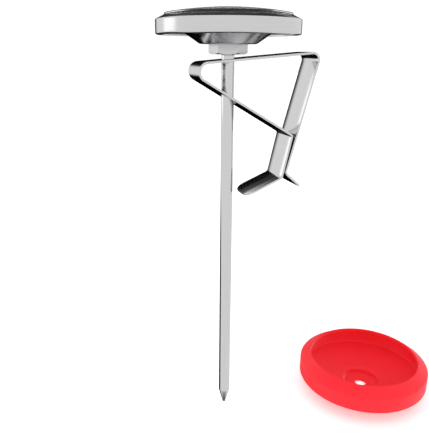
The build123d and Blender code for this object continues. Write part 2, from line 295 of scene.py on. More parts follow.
@made_once("Brushed stainless steel")
def spun_stainless(name, colours):
    """Pressed 304 sheet, brushed on a lathe: fine rings round the head."""
    material, tree, shader, place = new_material(name, {"Metallic": 1.0})
    parts = add_node(tree, "ShaderNodeSeparateXYZ", {0: place}).outputs
    flat = add_node(tree, "ShaderNodeCombineXYZ", {0: parts[0], 1: parts[1]})
    radius = add_node(tree, "ShaderNodeVectorMath", {0: flat.outputs[0]}, operation="LENGTH")
    # Height and radius together change along every face, so the rings never smear.
    across = add_node(
        tree, "ShaderNodeMath", {0: radius.outputs["Value"], 1: 1.6, 2: parts[2]}, operation="MULTIPLY_ADD"
    )
    ring_place = add_node(tree, "ShaderNodeCombineXYZ", {0: parts[0], 1: parts[1], 2: across.outputs[0]})
    # Brush marks are about 0.03 mm apart; 0.35 mm is the finest that shows.
    round_head = stretched(tree, ring_place.outputs[0], (14 * MM, 14 * MM, 0.35 * MM))
    rings = noise(tree, round_head, 1, 4.0, 0.65)
    steel = list(colours.steel)
    vary_surface(tree, shader, rings, (darker(steel, 0.86), steel), (0.15, 0.25), (0.12, 0.01 * MM))
    return material


@made_once("Spring stainless steel")
def spring_stainless(name, colours):
    """Rolled 301 spring strip: a satin face with rolling marks along the strip."""
    material, tree, shader, place = new_material(name, {"Metallic": 1.0})
    # Rolling marks are about 0.05 mm apart; 0.5 mm is the finest that shows.
    marks = noise(tree, stretched(tree, place, (18 * MM, 0.5 * MM, 18 * MM)), 1, 4.0, 0.6)
    steel = list(colours.steel)
    vary_surface(tree, shader, marks, (darker(steel, 0.9), steel), (0.1, 0.17), (0.08, 0.01 * MM))
    return material


@made_once("Milled stainless steel")
def milled_stainless(name, colours):
    """Bar stock, milled and tumbled: an even fine grain."""
    material, tree, shader, place = new_material(name, {"Metallic": 1.0})
    # Tumbling leaves pits of about 0.1 mm; 0.4 mm is the finest that shows.
    grain = noise(tree, place, 0.4 * MM, 3.0)
    steel = list(colours.steel)
    vary_surface(tree, shader, grain, (darker(steel, 0.88), steel), (0.3, 0.45), (0.2, 0.01 * MM))
    return material


@made_once("Turned brass")
def turned_brass(name, colours):
    """Free-cutting brass from a lathe: a warm metal with turning rings."""
    material, tree, shader, place = new_material(name, {"Metallic": 1.0})
    # The tool's feed leaves a ring every 0.1 mm.
    rings = add_node(
        tree,
        "ShaderNodeTexWave",
        {"Vector": place, "Scale": 0.3 / MM, "Distortion": 0.5},
        bands_direction="Z",
    )
    brass = list(colours.brass)
    shades = (darker(brass, 0.85), brass)
    vary_surface(tree, shader, rings.outputs["Fac"], shades, (0.25, 0.35), (0.15, 0.01 * MM))
    return material


@made_once("Bimetal strip")
def bimetal_strip(name, colours):
    """Rolled bimetal: a yellowish metal, tinted in patches by its heat treatment."""
    material, tree, shader, place = new_material(name, {"Metallic": 1.0})
    # The heat tint drifts over about 3 mm.
    tint = noise(tree, place, 3 * MM, 4.0)
    metal = list(colours.bimetal)
    vary_surface(tree, shader, tint, (darker(metal, 0.6), metal), (0.3, 0.45), (0.05, 0.01 * MM))
    return material


@made_once("Mineral glass")
def mineral_glass(name, colours):
    """Pressed and polished mineral glass: clear, with a faint green in its thickness."""
    constants = {"Base Color": list(colours.glass), "IOR": 1.52, "Transmission Weight": 1.0}
    material, tree, shader, place = new_material(name, constants)
    # Handling leaves a film that comes and goes over about 4 mm.
    film = noise(tree, place, 4 * MM, 3.0)
    rough = add_node(
        tree, "ShaderNodeMapRange", {"Value": film, "To Min": 0.0, "To Max": 0.04}
    )
    tree.links.new(rough.outputs[0], shader.inputs["Roughness"])
    return material


def moulded_rubber(name, colour, roughness, coarse):
    """Compression-moulded rubber: matt, with a fine pebble from its mould."""
    if name in bpy.data.materials:
        return bpy.data.materials[name]
    material, tree, shader, place = new_material(name, {"IOR": 1.5})
    grain = noise(tree, place, coarse, 4.0)
    vary_surface(tree, shader, grain, (darker(colour, 0.8), colour), roughness, (0.1, 0.02 * MM))
    return material


@made_once("Red silicone rubber")
def silicone_rubber(name, colours):
    """Moulded silicone, shore 60: light sinks in and glows, with a soft bloom on its skin."""
    constants = {
        "IOR": 1.41,
        "Subsurface Weight": 0.25,
        "Subsurface Radius": (1.0, 0.12, 0.12),
        "Subsurface Scale": 0.8 * MM,
        "Sheen Weight": 0.25,
        "Sheen Roughness": 0.5,
        "Sheen Tint": linear("FF9AA6"),
    }
    material, tree, shader, place = new_material(name, constants)
    # The mould's skin is a pebble of about 0.3 mm, and the bloom drifts over 6 mm.
    pebble = noise(tree, place, 0.3 * MM, 2.0)
    bloom = noise(tree, place, 6 * MM, 3.0)
    both = add_node(
        tree, "ShaderNodeMath", {0: pebble, 1: 0.25, 2: bloom}, operation="MULTIPLY_ADD"
    )
    red = list(colours.silicone)
    vary_surface(tree, shader, both.outputs[0], (darker(red, 0.93), red), (0.4, 0.52), (0.06, 0.02 * MM))
    return material


def stove_enamel(name, colour, speck, speck_share, roughness):
    """Stoved enamel on aluminium: even and smooth, with a fine fleck in its pigment."""
    if name in bpy.data.materials:
        return bpy.data.materials[name]
    material, tree, shader, place = new_material(name, {"Coat Weight": 0.3, "Coat Roughness": 0.1})
    fleck = noise(tree, place, speck, 2.0)
    sharp = add_node(
        tree, "ShaderNodeMapRange", {"Value": fleck, "From Min": 0.3, "From Max": 0.62}
    )
    shades = (darker(colour, 1 - speck_share), colour)
    vary_surface(tree, shader, sharp.outputs[0], shades, roughness, (0.05, 0.01 * MM))
    return material


@made_once("Red pointer enamel")
def pointer_enamel(name, colours):
    """Red enamel on the pointer, with the dipped dark end of its tip."""
    material, tree, shader, place = new_material(name, {"Coat Weight": 0.4, "Coat Roughness": 0.12})
    parts = add_node(tree, "ShaderNodeSeparateXYZ", {0: place}).outputs
    tip_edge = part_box("pointer")[0].x + 0.9 * MM
    dipped = add_node(tree, "ShaderNodeMath", {0: parts[0], 1: tip_edge}, operation="LESS_THAN")
    # The brush leaves an orange peel of about 0.5 mm.
    peel = noise(tree, place, 0.5 * MM, 2.0)
    red = list(colours.pointer)
    vary_surface(tree, shader, peel, (darker(red, 0.9), red), (0.3, 0.4), (0.08, 0.02 * MM))
    painted = shader.inputs["Base Color"].links[0].from_socket
    ends = add_node(
        tree, "ShaderNodeMix", {0: dipped.outputs[0], 6: painted, 7: linear("4A2A33")}, data_type="RGBA"
    )
    tree.links.new(ends.outputs[2], shader.inputs["Base Color"])
    return material


def use_on_nodes(material, *nodes):
    """Give CAD nodes a material in their own slots."""
    for node in nodes:
        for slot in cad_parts[node].material_slots:
            slot.material = material


# ------------------------------------------------------------------ settings


class ThermometerSizes(bpy.types.PropertyGroup):
    """Sizes that can be changed without refitting the pieces to each other."""

    bezel_round: bpy.props.FloatProperty(
        name="Bezel round", description="Radius of the bezel's edges", default=0.6 * MM, unit="LENGTH"
    )
    sheet_round: bpy.props.FloatProperty(
        name="Cup bend", description="Bend radius of the pressed cup", default=0.8 * MM, unit="LENGTH"
    )
    nut_edge: bpy.props.FloatProperty(
        name="Nut edge", description="Edge break on the nut", default=0.3 * MM, unit="LENGTH"
    )
    strip_gauge: bpy.props.FloatProperty(
        name="Strip gauge", description="Thickness of the clip's strip", default=0.7 * MM, unit="LENGTH"
    )
    strip_edge: bpy.props.FloatProperty(
        name="Strip edge", description="Edge break along the clip's strip", default=0.1 * MM, unit="LENGTH"
    )
    ink: bpy.props.FloatProperty(
        name="Ink", description="Thickness of the print on the dial", default=0.02 * MM, unit="LENGTH"
    )
    numeral_height: bpy.props.FloatProperty(
        name="Numerals", description="Height of the dial's numbers", default=2.25 * MM, unit="LENGTH"
    )
    cover_round: bpy.props.FloatProperty(
        name="Cover round", description="Radius on the cover's moulded edges", default=0.5 * MM, unit="LENGTH"
    )


def colour_property(name, code, description):
    """A colour that a user can change."""
    return bpy.props.FloatVectorProperty(
        name=name, description=description, default=linear(code), size=4, subtype="COLOR", min=0, max=1
    )


class ThermometerColours(bpy.types.PropertyGroup):
    """Colours of the finishes."""

    steel: colour_property("Steel", "E2E2E3", "Bare stainless steel")
    brass: colour_property("Brass", "D9B46A", "Shaft guides and the coil's anchor")
    bimetal: colour_property("Bimetal", "C9B58A", "The coil that senses the heat")
    glass: colour_property("Glass", "FDFFFE", "The lens over the dial")
    gasket: colour_property("Gasket", "16171A", "Rubber under the lens and the dial")
    silicone: colour_property("Silicone", "FA1226", "The cover and the stem's seal")
    dial: colour_property("Dial", "F9F9F9", "Enamel of the dial plate")
    ink: colour_property("Ink", "1D1F20", "Numbers and marks")
    yellow: colour_property("Yellow zone", "F2EE0A", "Inner band of the yellow zone")
    yellow_edge: colour_property("Yellow edge", "D9D63C", "Outer band of the yellow zone")
    brown: colour_property("Brown zone", "75534D", "The frothing zone")
    pointer: colour_property("Pointer", "E2303A", "Enamel of the pointer")
    cap: colour_property("Cap", "F6EFE0", "The cap on the pointer's hub")
    floor: colour_property("Floor", "FAFAFA", "The studio floor")


# ------------------------------------------------------------------ pieces


class THERMOMETER_OT_stem(bpy.types.Operator):
    """Stem tube and its pointed tip"""

    bl_idname = "thermometer.stem"
    bl_label = "Stem"

    def execute(self, context):
        low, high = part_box("stem_tube")
        radius = high.x
        bore = radius - 0.4 * MM
        edge = 0.05 * MM
        tube = turned(
            "stem_tube_drawn",
            [(bore, low.z), (radius, low.z), (radius, high.z), (bore, high.z)],
            [(radius, low.z, edge), (radius, high.z, edge)],
            steps=96,
        )
        finish_piece(tube, drawn_stainless(context.scene.thermometer_colours))
        fit_piece(tube, "stem", "steel_tube", "stem_tube")

        tip_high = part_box("stem_tip")[1].z
        point = 0.48 * MM
        tip = turned(
            "stem_tip_ground",
            [(0, 0), (point, 0), (radius, low.z), (bore, low.z), (bore, tip_high), (0, tip_high)],
            [(radius, low.z, edge)],
            closed=False,
            steps=96,
        )
        finish_piece(tip, drawn_stainless(context.scene.thermometer_colours))
        fit_piece(tip, "stem", "steel_tube", "stem_tip")
        return {"FINISHED"}


class THERMOMETER_OT_nut(bpy.types.Operator):
    """Hexagonal nut under the head"""

    bl_idname = "thermometer.nut"
    bl_label = "Nut"

    def execute(self, context):
        low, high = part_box("hex_nut")
        corner = 10.5 * MM / 2 / cos(radians(30))
        height = high.z - low.z
        deselect()
        bpy.ops.mesh.primitive_cylinder_add(
            vertices=6,
            radius=corner,
            depth=height,
            location=(0, 0, low.z + height / 2),
            rotation=(0, 0, radians(10)),
        )
        nut = named("hex_nut_milled")
        bpy.ops.object.transform_apply(location=True, rotation=True)
        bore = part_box("stem_tube")[1].x + 0.01 * MM
        seat = 4.2 * MM
        flat = 10.5 * MM / 2
        taper = 0.45 * MM
        blank = turned(
            "nut_blank",
            [
                (bore, low.z),
                (flat, low.z),
                (corner + taper, low.z + taper + taper * tan(radians(30))),
                (corner + taper, high.z),
                (seat, high.z),
                (seat, high.z - 1.15 * MM),
                (bore, high.z - 1.15 * MM),
            ],
            steps=96,
        )
        cut(nut, blank, "INTERSECT")
        edge = context.scene.thermometer_sizes.nut_edge
        modify(nut, "BEVEL", width=edge, segments=3, limit_method="ANGLE", angle_limit=radians(40))
        finish_piece(nut, milled_stainless(context.scene.thermometer_colours))
        fit_piece(nut, "stem", "steel_tube", "hex_nut")
        return {"FINISHED"}


class THERMOMETER_OT_cup(bpy.types.Operator):
    """Pressed cup that closes the head from below"""

    bl_idname = "thermometer.cup"
    bl_label = "Cup"

    def execute(self, context):
        low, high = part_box("case_cup")
        sheet = 0.5 * MM
        outer = high.x
        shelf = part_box("bezel_ring")[0].z + sheet
        neck = 3.05 * MM
        foot = 8.8 * MM
        brow = 13.4 * MM
        bend = context.scene.thermometer_sizes.sheet_round
        cup = turned(
            "case_cup_pressed",
            [
                (neck, low.z),
                (foot, low.z),
                (brow, shelf),
                (outer, shelf),
                (outer, high.z),
                (outer - sheet, high.z),
                (outer - sheet, shelf + sheet),
                (brow - sheet / 2, shelf + sheet),
                (foot - sheet / 2, low.z + sheet),
                (neck, low.z + sheet),
            ],
            [(foot, low.z, bend / 2), (brow, shelf, bend / 2), (outer, shelf, bend / 2)],
        )
        finish_piece(cup, spun_stainless(context.scene.thermometer_colours), smooth=25)
        fit_piece(cup, "case", "steel_bezel", "case_cup")
        return {"FINISHED"}


class THERMOMETER_OT_bezel(bpy.types.Operator):
    """Rolled bezel round the head"""

    bl_idname = "thermometer.bezel"
    bl_label = "Bezel"

    def execute(self, context):
        low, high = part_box("bezel_ring")
        sheet = 0.5 * MM
        outer = high.x
        mouth = outer - 2.4 * MM
        shoulder = high.z - 1.2 * MM
        turned_in = outer - 1.55 * MM
        roll = context.scene.thermometer_sizes.bezel_round
        bezel = turned(
            "bezel_rolled",
            [
                (turned_in, low.z),
                (outer, low.z),
                (outer, shoulder),
                (mouth, high.z),
                (mouth, high.z - 0.51 * MM),
                (outer - sheet, shoulder - sheet / 2),
                (outer - sheet, low.z + 0.45 * MM),
                (turned_in, low.z + 0.45 * MM),
            ],
            [
                (outer, low.z, roll),
                (outer, shoulder, roll / 2),
                (mouth, high.z, 0.15 * MM),
                (turned_in, low.z, 0.1 * MM),
            ],
            steps=256,
        )
        finish_piece(bezel, spun_stainless(context.scene.thermometer_colours))
        fit_piece(bezel, "case", "steel_bezel", "bezel_ring")
        return {"FINISHED"}


class THERMOMETER_OT_lens(bpy.types.Operator):
    """Domed lens and the gasket round it"""

    bl_idname = "thermometer.lens"
    bl_label = "Lens and gasket"

    def execute(self, context):
        low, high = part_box("lens")
        colours = context.scene.thermometer_colours
        radius = 19.5 * MM
        flange = low.z + 0.6 * MM
        dome = 1.7 * MM
        thick = 1.0 * MM
        skirt = 0.5 * MM
        edge = high.z - dome
        outside = arc_points((-radius, edge), (radius, edge), dome, 48)[24:]
        inner = radius - skirt
        inside = arc_points((-inner, edge - thick), (inner, edge - thick), dome, 40)[20:]
        outline = [(0, high.z - thick), *inside[1:], (inner, low.z), (high.x, low.z), (high.x, flange)]
        outline += [(radius, flange), *outside[::-1]]
        lens = turned("lens_pressed", outline, [(radius, edge, 0.12 * MM)], closed=False)
        finish_piece(lens, mineral_glass(colours), smooth=25)
        lens.visible_shadow = False
        fit_piece(lens, "case", "glass", "lens")

        gasket_low, gasket_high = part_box("lens_gasket")
        outer = gasket_high.x
        mouth = 19.8 * MM
        slope = 0.5
        under = gasket_high.z - 0.5 * MM
        gasket = turned(
            "lens_gasket_moulded",
            [
                (radius + 0.05 * MM, gasket_low.z),
                (outer, gasket_low.z),
                (outer, under - (outer - mouth) * slope),
                (mouth, under),
                (mouth, gasket_high.z),
                (radius + 0.05 * MM, gasket_high.z),
            ],
            [(mouth, gasket_high.z, 0.1 * MM), (radius + 0.05 * MM, gasket_high.z, 0.1 * MM)],
        )
        black = moulded_rubber("Black nitrile rubber", list(colours.gasket), (0.5, 0.65), 0.4 * MM)
        finish_piece(gasket, black)
        fit_piece(gasket, "case", "black_rubber", "lens_gasket")
        use_on_nodes(black, "stem_seal")
        return {"FINISHED"}


def scale_turn(fahrenheit):
    """The angle of a temperature on the dial, in radians from +X: 1.5 degrees of arc to 1 F."""
    return radians(90 - (fahrenheit - 110) * 1.5)


def celsius(value):
    """A Celsius temperature in Fahrenheit."""
    return value * 1.8 + 32


def printed_mark(name, inner, outer, width, turn, level, ink):
    """One printed line, from an inner to an outer radius, in edit mode."""
    deselect()
    bpy.ops.mesh.primitive_plane_add(size=1)
    mark = named(name)
    bpy.ops.object.mode_set(mode="EDIT")
    bpy.ops.transform.resize(value=(outer - inner, width, 1))
    bpy.ops.transform.translate(value=((inner + outer) / 2, 0, level))
    extrude_to((0, 0, ink))
    bpy.ops.mesh.select_all(action="SELECT")
    bpy.ops.object.mode_set(mode="OBJECT")
    mark.rotation_euler.z = turn
    bpy.ops.object.transform_apply(rotation=True)
    bpy.ops.object.mode_set(mode="EDIT")
    bpy.ops.mesh.select_all(action="SELECT")
    bpy.ops.mesh.normals_make_consistent(inside=False)
    return mark


def printed_marks(name, inner, outer, width, first, last, count, level, ink):
    """A row of equal marks from one temperature round to another."""
    mark = printed_mark(name, inner, outer, width, scale_turn(first), level, ink)
    angle = radians((last - first) * 1.5)
    bpy.ops.mesh.spin(steps=count, dupli=True, angle=angle, center=(0, 0, 0), axis=(0, 0, 1))
    bpy.ops.object.mode_set(mode="OBJECT")
    return mark


def printed_band(name, inner, outer, first, last, level, ink):
    """A printed band between two radii and two temperatures."""
    turn = scale_turn(first)
    band = point_at(name, (inner * cos(turn), inner * sin(turn), level))
    extrude_to(((outer - inner) * cos(turn), (outer - inner) * sin(turn), 0))
    bpy.ops.mesh.select_all(action="SELECT")
    angle = radians((last - first) * 1.5)
    steps = max(4, round(degrees(angle) / 2))
    bpy.ops.mesh.spin(steps=steps, angle=angle, center=(0, 0, 0), axis=(0, 0, 1))
    bpy.ops.mesh.select_all(action="SELECT")
    bpy.ops.mesh.remove_doubles(threshold=1e-7)
    extrude_to((0, 0, ink))
    bpy.ops.mesh.select_all(action="SELECT")
    bpy.ops.mesh.normals_make_consistent(inside=False)
    bpy.ops.object.mode_set(mode="OBJECT")
    return band


def printed_words(words, place, turn, height, level, ink):
    """Printed characters, centred on a place on the dial, with their tops turned from +Y."""
    deselect()
    bpy.ops.object.text_add()
    text = bpy.context.object
    text.data.body = words
    text.data.size = height / 0.7
    text.data.extrude = ink / 2
    text.data.resolution_u = 3
    bpy.ops.object.convert(target="MESH")
    number = named(f"print_{words}")
    bpy.ops.object.mode_set(mode="EDIT")
    bpy.ops.mesh.select_all(action="SELECT")
    bpy.ops.mesh.remove_doubles(threshold=1e-7)
    bpy.ops.object.mode_set(mode="OBJECT")
    bpy.ops.object.origin_set(type="ORIGIN_GEOMETRY", center="BOUNDS")
    number.location = (place[0], place[1], level + ink / 2)
    number.rotation_euler = (0, 0, turn)
    bpy.ops.object.transform_apply(location=True, rotation=True)
    return number


class THERMOMETER_OT_dial(bpy.types.Operator):
    """Dial plate with its ring"""

    bl_idname = "thermometer.dial"
    bl_label = "Dial plate"

    def execute(self, context):
        low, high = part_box("dial_plate")
        colours = context.scene.thermometer_colours
        hole = 2.2 * MM
        edge = 0.08 * MM
        plate = turned(
            "dial_plate_enamelled",
            [(hole, low.z), (high.x, low.z), (high.x, high.z), (hole, high.z)],
            [(hole, high.z, edge), (high.x, high.z, edge)],
            steps=128,
        )
        # Grit in the enamel is about 0.1 mm; 0.25 mm is the finest that shows.
        enamel = stove_enamel("White stove enamel", list(colours.dial), 0.25 * MM, 0.1, (0.35, 0.5))
        finish_piece(plate, enamel)
        fit_piece(plate, "case", "dial_white", "dial_plate")

        ring_low, ring_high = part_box("upper_dial_ring")
        inner = ring_high.x - 0.9 * MM
        ring = turned(
            "upper_dial_ring_pressed",
            [
                (inner, ring_low.z),
                (ring_high.x, ring_low.z),
                (ring_high.x, ring_high.z),
                (inner, ring_high.z),
            ],
            [(inner, ring_high.z, edge)],
            steps=128,
        )
        finish_piece(ring, enamel)
        fit_piece(ring, "case", "steel_inner", "upper_dial_ring")
        return {"FINISHED"}


class THERMOMETER_OT_print(bpy.types.Operator):
    """Scales, numbers and coloured zones printed on the dial"""

    bl_idname = "thermometer.print"
    bl_label = "Dial print"

    def execute(self, context):
        sizes = context.scene.thermometer_sizes
        colours = context.scene.thermometer_colours
        ink = sizes.ink
        height = sizes.numeral_height
        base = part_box("dial_plate")[1].z
        over = base + ink
        circle = 13.53 * MM
        inside = 10.83 * MM
        outside = 16.4 * MM
        bold, fine = 0.36 * MM, 0.2 * MM

        marks = [
            printed_marks("f_lines", circle, outside, bold, 0, 220, 22, over, ink),
            printed_marks("f_fine_lines", circle, 14.8 * MM, fine, 0, 220, 110, over, ink),
            printed_marks("c_lines", inside, circle, bold, celsius(-10), celsius(100), 11, over, ink),
            printed_marks(
                "c_fine_lines", 12.0 * MM, circle, fine, celsius(-18), celsius(104), 61, over, ink
            ),
            printed_band("inner_circle", circle - 0.22 * MM, circle - 0.1 * MM, 0, 220, over, ink),
            printed_band("outer_circle", circle + 0.1 * MM, circle + 0.22 * MM, 0, 220, over, ink),
        ]
        numbers_at = 17.95 * MM
        for value in range(0, 221, 20):
            turn = scale_turn(value)
            place = (numbers_at * cos(turn), numbers_at * sin(turn))
            tops_out = 60 <= value <= 160
            turn += -pi / 2 if tops_out else pi / 2
            marks.append(printed_words(str(value), place, turn, height, over, ink))
        numbers_at = 9.22 * MM
        for value in range(-10, 101, 10):
            turn = scale_turn(celsius(value))
            place = (numbers_at * cos(turn), numbers_at * sin(turn))
            marks.append(printed_words(str(value), place, 0, height, over, ink))
        marks.append(printed_words("°C", (-0.23 * MM, -11.8 * MM), 0, height * 1.15, over, ink))
        marks.append(printed_words("°F", (-0.53 * MM, -16.4 * MM), 0, height * 1.15, over, ink))
        scales = join("dial_scales", marks)
        # Screen ink lies down in dots of about 0.15 mm.
        black = stove_enamel("Black screen ink", list(colours.ink), 0.15 * MM, 0.3, (0.45, 0.6))
        finish_piece(scales, black)
        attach(scales, "case")

        zones = (
            ("yellow_zone", inside, circle, 140, 150, "Yellow screen ink", colours.yellow),
            ("yellow_zone_edge", circle, outside, 140, 150, "Dark yellow screen ink", colours.yellow_edge),
            ("brown_zone", inside, 16.57 * MM, 176, 203, "Brown screen ink", colours.brown),
        )
        for name, inner, outer, first, last, finish, colour in zones:
            zone = printed_band(name, inner, outer, first, last, base, ink)
            finish_piece(zone, stove_enamel(finish, list(colour), 0.2 * MM, 0.12, (0.45, 0.6)))
            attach(zone, "case")
        return {"FINISHED"}


class THERMOMETER_OT_pointer(bpy.types.Operator):
    """Pointer, its hub and the cap on it"""

    bl_idname = "thermometer.pointer"
    bl_label = "Pointer and hub"

    def execute(self, context):
        colours = context.scene.thermometer_colours
        low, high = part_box("pointer")
        hub_low, hub_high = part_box("pointer_hub")
        cap_low, cap_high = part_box("hub_cap")
        hub_radius = hub_high.x
        cap_radius = cap_high.x
        root, end, tail = 0.55 * MM, 0.175 * MM, 0.875 * MM
        thick = high.z - low.z
        outline = [
            (low.x, -end),
            (-hub_radius / 2, -root),
            (hub_radius, -tail),
            (high.x, -tail),
            (high.x, tail),
            (hub_radius, tail),
            (-hub_radius / 2, root),
            (low.x, end),
        ]
        pointer = point_at("pointer_enamelled", (*outline[0], low.z))
        for start, finish in pairwise(outline):
            extrude_to((finish[0] - start[0], finish[1] - start[1], 0))
        bpy.ops.mesh.select_all(action="SELECT")
        bpy.ops.mesh.edge_face_add()
        select_where(pointer, lambda place: place.x > high.x - 1e-6)
        bpy.ops.mesh.bevel(offset=tail * 0.75, segments=6, affect="VERTICES")
        bpy.ops.mesh.select_all(action="SELECT")
        extrude_to((0, 0, thick))
        bpy.ops.mesh.select_all(action="SELECT")
        bpy.ops.mesh.normals_make_consistent(inside=False)
        bpy.ops.object.mode_set(mode="OBJECT")
        deselect()
        bpy.ops.mesh.primitive_cylinder_add(
            vertices=48, radius=cap_radius, depth=4 * thick, location=(0, 0, low.z)
        )
        cut(pointer, named("hub_hole"))
        modify(pointer, "BEVEL", width=0.05 * MM, segments=2, limit_method="ANGLE", angle_limit=radians(40))
        red = pointer_enamel(colours)
        finish_piece(pointer, red)
        fit_piece(pointer, "pointer", "pointer_red", "pointer")

        bore = 0.41 * MM
        edge = 0.12 * MM
        hub = turned(
            "pointer_hub_turned",
            [
                (bore, hub_low.z),
                (hub_radius, hub_low.z),
                (hub_radius, low.z),
                (cap_radius - 0.01 * MM, low.z),
                (cap_radius - 0.01 * MM, high.z),
                (hub_radius, high.z),
                (hub_radius, hub_high.z),
                (bore, hub_high.z),
            ],
            [(hub_radius, hub_low.z, edge), (hub_radius, hub_high.z, edge)],
            steps=96,
        )
        finish_piece(hub, red)
        fit_piece(hub, "pointer", "pointer_red", "pointer_hub")

        cap = turned(
            "hub_cap_moulded",
            [(0, cap_low.z), (cap_radius, cap_low.z), (cap_radius, cap_high.z), (0, cap_high.z)],
            [(cap_radius, cap_high.z, (cap_high.z - cap_low.z) * 0.7)],
            closed=False,
            steps=64,
        )
        # Moulded acetal has a faint flow mottle over about 0.6 mm.
        cream = stove_enamel("Cream moulded acetal", list(colours.cap), 0.6 * MM, 0.06, (0.25, 0.35))
        finish_piece(cap, cream)
        fit_piece(cap, "pointer", "cap_cream", "hub_cap")
        return {"FINISHED"}


# The clip's strip, as (x, z) places of its middle line, in millimetres.
HAIRPIN = (-8.1, 121.9)
HAIRPIN_RADIUS = 2.75
UPPER_ARM_SLOPE = 4.7
LOWER_ARM_SLOPE = 30.5


def circle_point(centre, radius, angle):
    """The point of a circle at an angle in degrees above +X."""
    return (centre[0] + radius * cos(radians(angle)), centre[1] + radius * sin(radians(angle)))


def bent_strip(name, route, bends, holes, sizes, round_end=False):
    """A strip along a route of (x, z) places in millimetres, with the radius of each bend."""
    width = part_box("clip_upper")[1].y
    start = Vector((route[0][0] * MM, -width, route[0][1] * MM))
    strip = point_at(name, start)
    extrude_to((0, 2 * width, 0))
    bpy.ops.mesh.select_all(action="SELECT")
    here = Vector(route[0])
    for number, radius in enumerate(bends):
        corner, after = Vector(route[number + 1]), Vector(route[number + 2])
        ahead, beyond = (corner - here).normalized(), (after - corner).normalized()
        turn = atan2(ahead.x * beyond.y - ahead.y * beyond.x, ahead.dot(beyond))
        takes = radius * tan(abs(turn) / 2)
        run = corner - ahead * takes - here
        extrude_to((run.x * MM, 0, run.y * MM))
        side = Vector((-ahead.y, ahead.x)) * (1 if turn > 0 else -1)
        centre = corner - ahead * takes + side * radius
        steps = max(3, round(abs(degrees(turn)) / 7))
        bpy.ops.mesh.spin(
            steps=steps, angle=turn, center=(centre.x * MM, 0, centre.y * MM), axis=(0, 1, 0)
        )
        here = corner + beyond * takes
    run = Vector(route[-1]) - here
    extrude_to((run.x * MM, 0, run.y * MM))
    if round_end:
        bpy.ops.mesh.bevel(offset=3.8 * MM, segments=8, affect="VERTICES")
    bpy.ops.mesh.select_all(action="SELECT")
    bpy.ops.mesh.remove_doubles(threshold=1e-7)
    bpy.ops.mesh.normals_make_consistent(inside=False)
    bpy.ops.object.mode_set(mode="OBJECT")
    modify(strip, "SOLIDIFY", thickness=sizes.strip_gauge, offset=0, use_even_offset=True)
    for x, z, depth, slot in holes:
        deselect()
        bpy.ops.mesh.primitive_cylinder_add(
            vertices=48, radius=2.12 * MM, depth=depth * MM, location=(x * MM, 0, z * MM)
        )
        drill = named("drill")
        bpy.ops.object.transform_apply(location=True)
        bpy.ops.object.mode_set(mode="EDIT")
        select_where(drill, lambda place: place.x > x * MM + 1e-6)
        bpy.ops.transform.translate(value=(slot * MM, 0, 0))
        bpy.ops.object.mode_set(mode="OBJECT")
        cut(strip, drill)
    return strip


class THERMOMETER_OT_clip(bpy.types.Operator):
    """Spring clip: its upper arm with the outer leg, and its lower arm with the inner leg"""

    bl_idname = "thermometer.clip"
    bl_label = "Clip"

    def execute(self, context):
        sizes = context.scene.thermometer_sizes
        steel = spring_stainless(context.scene.thermometer_colours)
        upper_start = circle_point(HAIRPIN, HAIRPIN_RADIUS, 90 + UPPER_ARM_SLOPE)
        lower_start = circle_point(HAIRPIN, HAIRPIN_RADIUS, 270 - LOWER_ARM_SLOPE)
        upper = bent_strip(
            "clip_upper_bent",
            [upper_start, (29.5, 127.75), (18.9, 89.24), (24.2, 84.64)],
            [2.2, 1.5],
            [(0, 125, 6, 0)],
            sizes,
        )
        lower = bent_strip(
            "clip_lower_bent",
            [lower_start, (20.7, 101.74), (17.49, 87.74), (4.94, 82.51)],
            [1.0, 1.5],
            [(0, 114, 12, 0.65)],
            sizes,
            round_end=True,
        )
        for piece in (upper, lower):
            width = sizes.strip_edge
            modify(piece, "BEVEL", width=width, segments=2, limit_method="ANGLE", angle_limit=radians(50))
            finish_piece(piece, steel)
        fit_piece(upper, "clip_frame", "steel_spring", "clip_upper")
        fit_piece(lower, "clip_jaw", "steel_spring", "clip_lower")

        half_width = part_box("clip_upper")[1].y
        hairpin = point_at("clip_hairpin_bent", (upper_start[0] * MM, -half_width, upper_start[1] * MM))
        extrude_to((0, 2 * half_width, 0))
        bpy.ops.mesh.select_all(action="SELECT")
        bpy.ops.mesh.spin(
            steps=24,
            angle=radians(180 - UPPER_ARM_SLOPE - LOWER_ARM_SLOPE),
            center=(HAIRPIN[0] * MM, 0, HAIRPIN[1] * MM),
            axis=(0, 1, 0),
        )
        bpy.ops.mesh.select_all(action="SELECT")
        bpy.ops.mesh.remove_doubles(threshold=1e-7)
        bpy.ops.mesh.normals_make_consistent(inside=False)
        bpy.ops.object.mode_set(mode="OBJECT")
        modify(hairpin, "SOLIDIFY", thickness=sizes.strip_gauge, offset=0, use_even_offset=True)
        finish_piece(hairpin, steel)
        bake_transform(hairpin)
        return {"FINISHED"}


